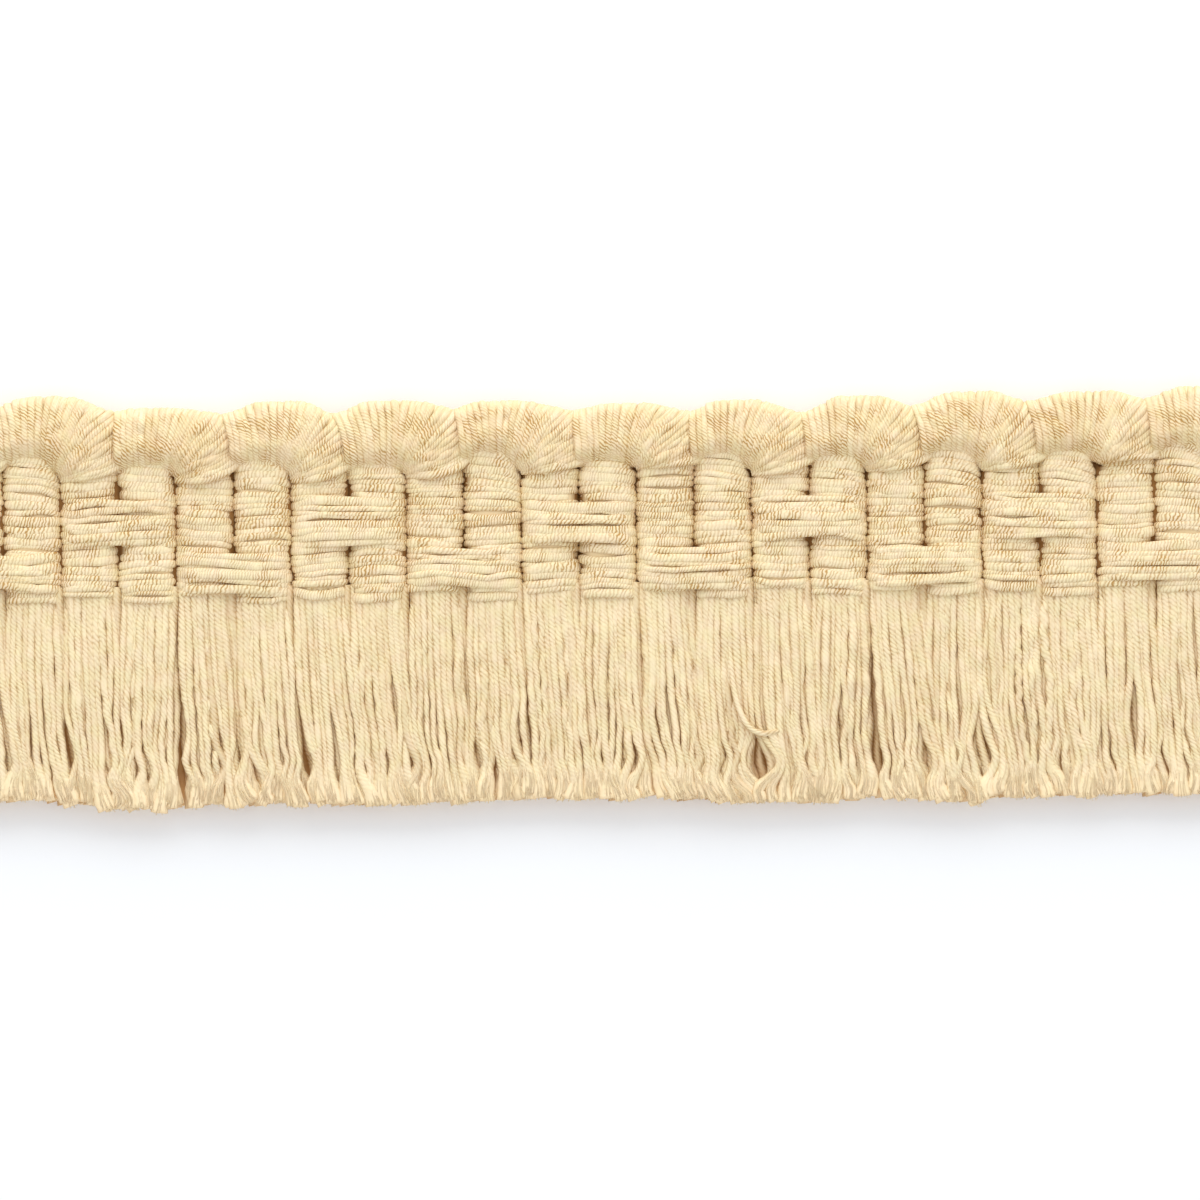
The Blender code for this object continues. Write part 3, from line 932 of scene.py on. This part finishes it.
def make_loops(sizes):
    """A skin of yarns for each loop, over a second layer that fills between them."""
    rng = np.random.default_rng(sizes.seed + 3)
    radius = sizes.yarn / MM / 2
    count = sizes.loop_yarns
    made = {}
    for number, node in enumerate(LOOP_NODES):
        layers = (
            (loop_paths(number, count, 0.0, 0.0, rng), 8, 1),
            (loop_paths(number, count - 1, 0.5 / count, SECOND_LAYER, rng), 6, 2),
        )
        made[node] = []
        for (paths, across), sides, step in layers:
            paths, across = paths[:, ::step], across[:, ::step]
            shade = rng.normal(0, 1, len(paths))
            shade[-2:] = OUTER_SHADE
            wide = radius * rng.uniform(1.0, 1.35, (len(paths), 1))
            phase = rng.uniform(0, 1, len(paths))
            twist = sizes.twist / MM * rng.uniform(0.60, 0.80, len(paths))
            thick = wide * LOOP_FLATNESS
            paths[..., 2] = np.maximum(paths[..., 2], thick)
            # Towards the crest the furrows fade out, their painted shade and their relief alike, leaving
            # the crest smooth and pale
            crest_fade = smooth((np.linspace(0, 1, paths.shape[1])[None] - 0.25) / 0.14)
            made[node].append(tubes(paths, across, wide, thick, sides, twist, shade, crest_fade, phase))
    return made


# Skirt

# The yarns start this far above the heading's foot, and shares of their drop are shares of this
# depth. A rib's bundle fills this share of its pitch at the foot and spreads to an even row on the
# way to this depth. All lengths are in mm
SKIRT_START = 2.8
USUAL_DROP = 29.0
GATHERED = 0.91
SPREAD_DEPTH = 9.0

# How much shorter than the cut edge the front layer and the others are, in mm
FRONT_SHORTER = 0.2
INNER_SHORTER = 0.5

# Openings: where their middle lies on the way down, and how far above and below them in pixels the
# yarns begin to part and close again
OPENING_MIDDLE = 0.65
OPENING_ABOVE_PX = 14
OPENING_BELOW_PX = 12


def parted(x, drop_px, share):
    """Push yarns aside from the openings.

    A yarn keeps to the side of an opening on which it passes the opening's middle. Its push is
    half the width, times tanh of its distance, times exp(-distance / reach), and along the yarn
    it swells and dies away between the opening's first and last row.
    """
    moved = x.copy()
    for gap in OPENINGS:
        first, last = gap.top - FOOT_PX, gap.foot - FOOT_PX
        middle = (1 - OPENING_MIDDLE) * first + OPENING_MIDDLE * last
        station = np.argmin(np.abs(drop_px - middle), axis=1)
        away = (x[np.arange(len(x)), station] - photo_x(gap.x)) * PX_PER_MM
        push = np.tanh(away / OPENING_EDGE_PX) * np.exp(-np.abs(away) / OPENING_REACH_PX)
        span = last - first + OPENING_ABOVE_PX + OPENING_BELOW_PX
        stretch = np.clip((drop_px - first + OPENING_ABOVE_PX) / span, 0, 1)
        swell = np.sin(np.pi * stretch**1.4) ** 1.3
        moved += share * (1.1 + 0.015 * gap.width) * gap.width / PX_PER_MM / 2 * push[:, None] * swell
    return moved


def skirt_paths(sizes, layer, seed):
    """Paths of one layer's yarns from inside the heading to the cut edge.

    X widens from the rib's bundle to an even spread, leans with the share s of the drop, drifts
    in wisps of a few yarns that grow as s ** 2 and s ** 4, and is parted at the openings. Z falls
    from the layer's height at the heading to its height at the tips, where it turns down.
    """
    # The first stream of draws is the same for every layer, so that the layers move together
    shared = np.random.default_rng(sizes.seed + 4)
    rng = np.random.default_rng(seed)
    per_rib = sizes.yarns_per_rib
    count = RIBS * per_rib
    rib = np.repeat(np.arange(RIBS), per_rib)[:, None]
    offset = 0.5 + 0.5 * (LAYERS.index(layer) % 2)
    place = (np.tile(np.arange(per_rib), RIBS)[:, None] + offset) / per_rib
    place = place + rng.normal(0, 0.08 / per_rib, (count, 1))
    free = LEFT + (rib + place) * PITCH
    root = LEFT + (rib + 0.5 + (place - 0.5) * GATHERED) * PITCH
    wisp = groups_of(count, (1, 2, 2, 3), rng)
    wisps = rng.normal(0, 1, (5, wisp.max() + 1))[:, wisp, None]

    # Drop: to the cut edge, a little ragged
    pixel = free * PX_PER_MM + MIDDLE_PX
    depth = np.interp(pixel, [e.x for e in CUT_EDGE], [e.depth for e in CUT_EDGE]) / PX_PER_MM
    ragged = 0.30 * waves(free, (2.9, 4.7, 8.1), shared) + 0.15 * wisps[0]
    ragged = ragged + rng.normal(0, 0.15, (count, 1))
    shorter = FRONT_SHORTER if layer.name == "front" else INNER_SHORTER
    down = np.linspace(0, 1, layer.stations)
    drop = (depth + ragged - shorter + SKIRT_START) * down - SKIRT_START
    below = np.maximum(drop, 0.0)
    s = below / USUAL_DROP

    # Sideways: the spread, the tufts of whole ribs, the lean, and slow drifts that neighbours share
    x = root + (free - root) * smooth(below / SPREAD_DEPTH)
    lean = sizes.lean / MM * (1.0 + 0.7 * waves(free, (19.0, 31.0, 47.0), shared))
    tuft = shared.normal(0, 1, (2, RIBS))[:, rib]
    loose = 0.3 + 0.7 * smooth(layer.parting / 0.6)
    x = x + loose * (0.42 * tuft[0] * s**1.3 + 0.22 * tuft[1] * np.sin(np.pi * s))
    x = x + lean * (0.6 * s**1.4 + 0.4 * s**5)
    x = x + 0.36 * waves(free, (2.3, 3.3, 4.9), shared) * s**2
    x = x + 0.65 * waves(free, (4.1, 6.9, 9.7), shared) * s**4

    # Sideways: the curl of each wisp, its drift and its kink near the end, then each yarn's own bends
    curl = np.sin(FULL_TURN * below / (13 + 3 * np.tanh(wisps[1])) + 3 * wisps[2])
    x = x + loose * (0.50 * wisps[3] * curl * s**2 + 0.36 * wisps[4] * s**3)
    kink = np.sin(FULL_TURN * (below - 20) / (8 + 2 * np.tanh(wisps[2]))) * smooth((s - 0.62) / 0.2)
    x = x + loose * 0.34 * wisps[1] * kink
    x = x + 0.16 * waves(free, (3.1, 5.3), shared) * np.sin(FULL_TURN * s)
    length = rng.uniform(14, 30, (count, 1))
    x = x + rng.normal(0, 0.12, (count, 1)) * np.sin(FULL_TURN * below / length)
    x = x + rng.normal(0, 0.24, (count, 1)) * s**2 + wriggle(below, 0.05, (2.5, 5.0), rng)
    x = parted(x, drop * PX_PER_MM, layer.parting)

    # Height: level at the root, where the front bundles are rounded, and turned down at the tips
    z = layer.root_z + (layer.tip_z - layer.root_z) * s
    if layer.name == "front":
        z = z - np.abs(2 * place - 1) ** 4 * np.exp(-below / 3.0)
    z = z - 0.08 * layer.tip_z * smooth(1 - (below[:, -1:] - below) / 1.6)
    if layer.parting:
        z = z + 0.16 * ripples(x, below * 0.25, 5.0, shared) * smooth(below / 4)
        z = z + rng.normal(0, 0.12, (count, 1)) * np.sin(np.pi * below / rng.uniform(14, 34, (count, 1)))
        z = z + wriggle(below, 0.08, (4.0, 9.0), rng) * smooth(below / 8) + 0.16 * wisps[1] * s
    return np.stack([x, FOOT - drop, z], axis=-1)


def make_skirt_layer(sizes, index):
    """Paths and tubes of one layer of cut yarns, which spread and untwist at their ends."""
    layer = LAYERS[index]
    rng = np.random.default_rng(sizes.seed + 20 + index)
    paths = skirt_paths(sizes, layer, sizes.seed + 10 + index)
    fray = smooth(1 - (paths[:, :, 1] - paths[:, -1:, 1]) / (sizes.fray / MM))
    count = len(paths)
    radius = sizes.yarn / MM / 2 * rng.uniform(0.80, 1.12, (count, 1))
    below = np.maximum(FOOT - paths[:, :, 1], 0.0)
    thinner = 1 - 0.16 * smooth((below - 6.0) / 12.0) * (layer.parting > 0)
    wide = radius * layer.wide * (thinner + rng.uniform(0.4, 1.1, (count, 1)) * fray)
    wide = wide * (1 + 0.07 * rng.normal(0, 1, fray.shape))
    thick = radius * layer.thick * (thinner - 0.20 * fray)
    shade = rng.normal(0, 1, count)
    twist = sizes.twist / MM * rng.uniform(0.85, 1.2, count)
    phase = rng.uniform(0, 1, count)
    return paths, tubes(paths, (1, 0, 0), wide, thick, layer.sides, twist, shade, fray, phase)


# Loose fibres: how many come out of a yarn, how many layers have them, their radius, how far past
# the yarn's end they reach, how long they are, and how far they stand and drift aside, in mm
FIBRES = 14
FIBRE_LAYERS = 2
FIBRE_RADIUS = 0.065
FIBRE_PAST = (-0.6, 0.42)
FIBRE_LENGTHS = (1.5, 4.5)
FIBRE_ASIDE = 0.30
FIBRE_DRIFT = 0.22


def make_fibres(paths, seed):
    """Loose fibres that fan out of the cut ends.

    Each follows its yarn's path from 1.5 to 4.5 mm before its own end, which lies up to half a
    millimetre past the yarn's, and drifts aside as the square of the way along.
    """
    rng = np.random.default_rng(seed)
    yarns = np.repeat(paths, FIBRES, axis=0)
    count, stations = yarns.shape[:2]
    tips = yarns[:, -1]
    direction = unit(tips - yarns[:, -3])
    way = np.linspace(0, 1, 5)[None]
    past = rng.uniform(*FIBRE_PAST, (count, 1)) - rng.uniform(*FIBRE_LENGTHS, (count, 1)) * (1 - way)
    step = (yarns[:, 0, 1] - tips[:, 1])[:, None] / (stations - 1)
    place = np.clip(stations - 1 + past / step, 0, stations - 1)
    low = np.floor(place).astype(int)
    high = np.minimum(low + 1, stations - 1)
    row = np.arange(count)[:, None]
    share = (place - low)[..., None]
    line = yarns[row, low] * (1 - share) + yarns[row, high] * share
    line = line + direction[:, None] * np.maximum(past, 0)[..., None]
    side = rng.normal(0, FIBRE_ASIDE, (count, 1))
    line[..., 0] += side + rng.normal(0, FIBRE_DRIFT, (count, 1)) * way**2
    line[..., 2] += 0.30 * np.sqrt(np.maximum(1 - (side / 0.75) ** 2, 0)) + rng.normal(0, 0.05, (count, 1))
    line[..., 2] = np.maximum(line[..., 2], 0.06)
    # Painted light: the fibres are given a paler tone, to offset the shade they cast on one another
    shade = rng.normal(-3.5, 1.2, count)
    radius = FIBRE_RADIUS * (1.2 - way * 0.6)
    return tubes(line, (1, 0, 0), radius, radius * 0.6, 3, 9.0, shade, 0.9)


# One strand that has strayed across the skirt: pixel along and down the photograph, height in mm
STRAY = (
    (724, 598, 4.4), (729, 655, 4.6), (733, 690, 5.0), (739, 712, 5.15),
    (748, 727, 5.1), (760, 733, 4.9), (777, 731, 4.4),
)
STRAY_DOWN_PX = 1.3
STRAY_STATIONS = 70


def cubic(knots, values, fine):
    """Smooth curve through values at even knots: Hermite pieces with central slopes."""
    slopes = np.gradient(values, knots)
    span = np.clip(np.searchsorted(knots, fine, side="right") - 1, 0, len(knots) - 2)
    step = knots[1] - knots[0]
    t = (fine - knots[span]) / step
    first = (1 + 2 * t) * (1 - t) ** 2 * values[span] + t * (1 - t) ** 2 * step * slopes[span]
    second = t * t * (3 - 2 * t) * values[span + 1] + t * t * (t - 1) * step * slopes[span + 1]
    return first + second


def make_stray(sizes):
    """A yarn lying on top of the skirt that bends aside over the widest opening."""
    column, row, z = np.array(STRAY).T
    points = (photo_x(column), FOOT - (row + STRAY_DOWN_PX - FOOT_PX) / PX_PER_MM, z)
    knots = np.linspace(0, 1, len(STRAY))
    fine = np.linspace(0, 1, STRAY_STATIONS)
    path = np.stack([cubic(knots, values, fine) for values in points], axis=-1)[None]
    radius = sizes.yarn / MM / 2 * 0.85
    return tubes(path, (1, 0.2, 0), radius, radius, 8, sizes.twist / MM, [-1.5])


# Stage: the camera's lens and sensor in mm, the softbox's sides and place in metres and its power in
# watts, the brightness of the room, and half the floor's side in metres
LENS = 300.0
SENSOR = 36.0
SOFTBOX_SIDES = (1.8, 1.2)
SOFTBOX_PLACE = (-0.05, 1.15, 0.52)
SOFTBOX_POWER = 14.0
ROOM_BRIGHTNESS = 0.890
FLOOR_HALF = 1.5


class FRINGE_OT_stage(bpy.types.Operator):
    """Plain white surface, soft light from above the loops, and the camera straight above"""

    bl_idname = "fringe.stage"
    bl_label = "Stage"

    def execute(self, context):
        """Make the camera, the light, the world and the floor."""
        scene = context.scene
        scene.view_settings.view_transform = "Standard"
        camera_data = bpy.data.cameras.new("camera")
        camera_data.sensor_width = SENSOR
        camera_data.lens = LENS
        camera_data.clip_end = 50.0
        camera = new_object("camera", camera_data)
        distance = PHOTO_SIZE / PX_PER_MM * MM * LENS / SENSOR
        middle_x = photo_x(PHOTO_SIZE / 2) * MM
        middle_y = (FOOT + (FOOT_PX - PHOTO_SIZE / 2) / PX_PER_MM) * MM
        camera.location = (middle_x, middle_y, distance)
        camera.rotation_euler = (0.0, 0.0, -LEAN_OF_PHOTO)
        scene.camera = camera

        softbox = bpy.data.lights.new("softbox", "AREA")
        softbox.shape = "RECTANGLE"
        softbox.size, softbox.size_y = SOFTBOX_SIDES
        softbox.energy = SOFTBOX_POWER
        softbox.color = SOFTBOX_TINT
        lamp = new_object("softbox", softbox)
        lamp.location = SOFTBOX_PLACE
        lamp.rotation_euler = (-Vector(lamp.location)).to_track_quat("-Z", "Y").to_euler()

        world = bpy.data.worlds.new("studio")
        world.use_nodes = True
        background = world.node_tree.nodes["Background"]
        set_inputs(background, {"Color": SKY_TINT, "Strength": ROOM_BRIGHTNESS})
        scene.world = world

        mesh = bpy.data.meshes.new("floor")
        half = FLOOR_HALF
        square = [(-half, -half, 0), (half, -half, 0), (half, half, 0), (-half, half, 0)]
        mesh.from_pydata(square, [], [(0, 1, 2, 3)])
        material, shader = new_material("matt white board")[:2]
        board = {"Base Color": scene.fringe_colors.floor, "Roughness": 0.9, "Specular IOR Level": 0.1}
        set_inputs(shader, board)
        mesh.materials.append(material)
        floor = new_object("floor", mesh)
        return {"FINISHED"}


class FRINGE_OT_heading(bpy.types.Operator):
    """Woven band: packed ribs, warps over them, floats over pairs of ribs, and the flat back"""

    bl_idname = "fringe.heading"
    bl_label = "Heading"

    def execute(self, context):
        """Make the heading's core, front warps and back warps."""
        sizes = context.scene.fringe_sizes
        place = ("heading_yarn", ["heading"])
        core = add_piece("heading_core", make_heading_core(), core_material(), *place)
        front = add_piece("heading_warps", make_heading_warps(sizes), made_once(WOVEN), *place)
        back = add_piece("heading_back", make_heading_back(sizes), made_once(WOVEN), *place)
        return {"FINISHED"}


class FRINGE_OT_loops(bpy.types.Operator):
    """Weft bundles that turn over at the top edge, one piece for each loop"""

    bl_idname = "fringe.loops"
    bl_label = "Loops"

    def execute(self, context):
        """Make every loop's yarns."""
        for node, skins in make_loops(context.scene.fringe_sizes).items():
            add_piece(node + "_yarns", skins, loop_yarn(), "loop_yarn", [node])
        return {"FINISHED"}


class FRINGE_OT_skirt(bpy.types.Operator):
    """Cut yarns in five layers, with frayed ends, loose fibres and one stray strand"""

    bl_idname = "fringe.skirt"
    bl_label = "Skirt"

    def execute(self, context):
        """Make the layers, the loose fibres and the stray strand."""
        sizes = context.scene.fringe_sizes
        place = ("skirt_yarn", ["skirt"])
        fibres = []
        for index, layer in enumerate(LAYERS):
            paths, skin = make_skirt_layer(sizes, index)
            add_piece("skirt_" + layer.name, [skin], skirt_yarn(layer.shaded), *place)
            if index < FIBRE_LAYERS:
                fibres.append(make_fibres(paths, sizes.seed + 30 + index))
        add_piece("skirt_fibres", fibres, skirt_yarn(), *place)
        add_piece("skirt_stray", [make_stray(sizes)], skirt_yarn(), *place)
        return {"FINISHED"}


class FRINGE_PT_panel(bpy.types.Panel):
    """Sizes, colours and pieces of the fringe"""

    bl_idname = "FRINGE_PT_panel"
    bl_label = "Brush Fringe"
    bl_space_type = "VIEW_3D"
    bl_region_type = "UI"
    bl_category = "Fringe"

    def draw(self, context):
        """List the settings and one button for each operator."""
        for group in (context.scene.fringe_sizes, context.scene.fringe_colors):
            for name in group.bl_rna.properties.keys():
                if name not in ("rna_type", "name"):
                    self.layout.prop(group, name)
        for operator in OPERATORS:
            self.layout.operator(operator.bl_idname)


OPERATORS = (FRINGE_OT_stage, FRINGE_OT_heading, FRINGE_OT_loops, FRINGE_OT_skirt)
CLASSES = (FringeSizes, FringeColors, *OPERATORS, FRINGE_PT_panel)


def register():
    """Add the classes and the scene's settings."""
    for cls in CLASSES:
        bpy.utils.register_class(cls)
    bpy.types.Scene.fringe_sizes = PointerProperty(type=FringeSizes)
    bpy.types.Scene.fringe_colors = PointerProperty(type=FringeColors)


def unregister():
    """Remove the settings and the classes."""
    del bpy.types.Scene.fringe_sizes
    del bpy.types.Scene.fringe_colors
    for cls in reversed(CLASSES):
        bpy.utils.unregister_class(cls)


def main():
    """Register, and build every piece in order."""
    register()
    bpy.ops.fringe.stage()
    bpy.ops.fringe.heading()
    bpy.ops.fringe.loops()
    bpy.ops.fringe.skirt()


if __name__ == "__main__":
    main()
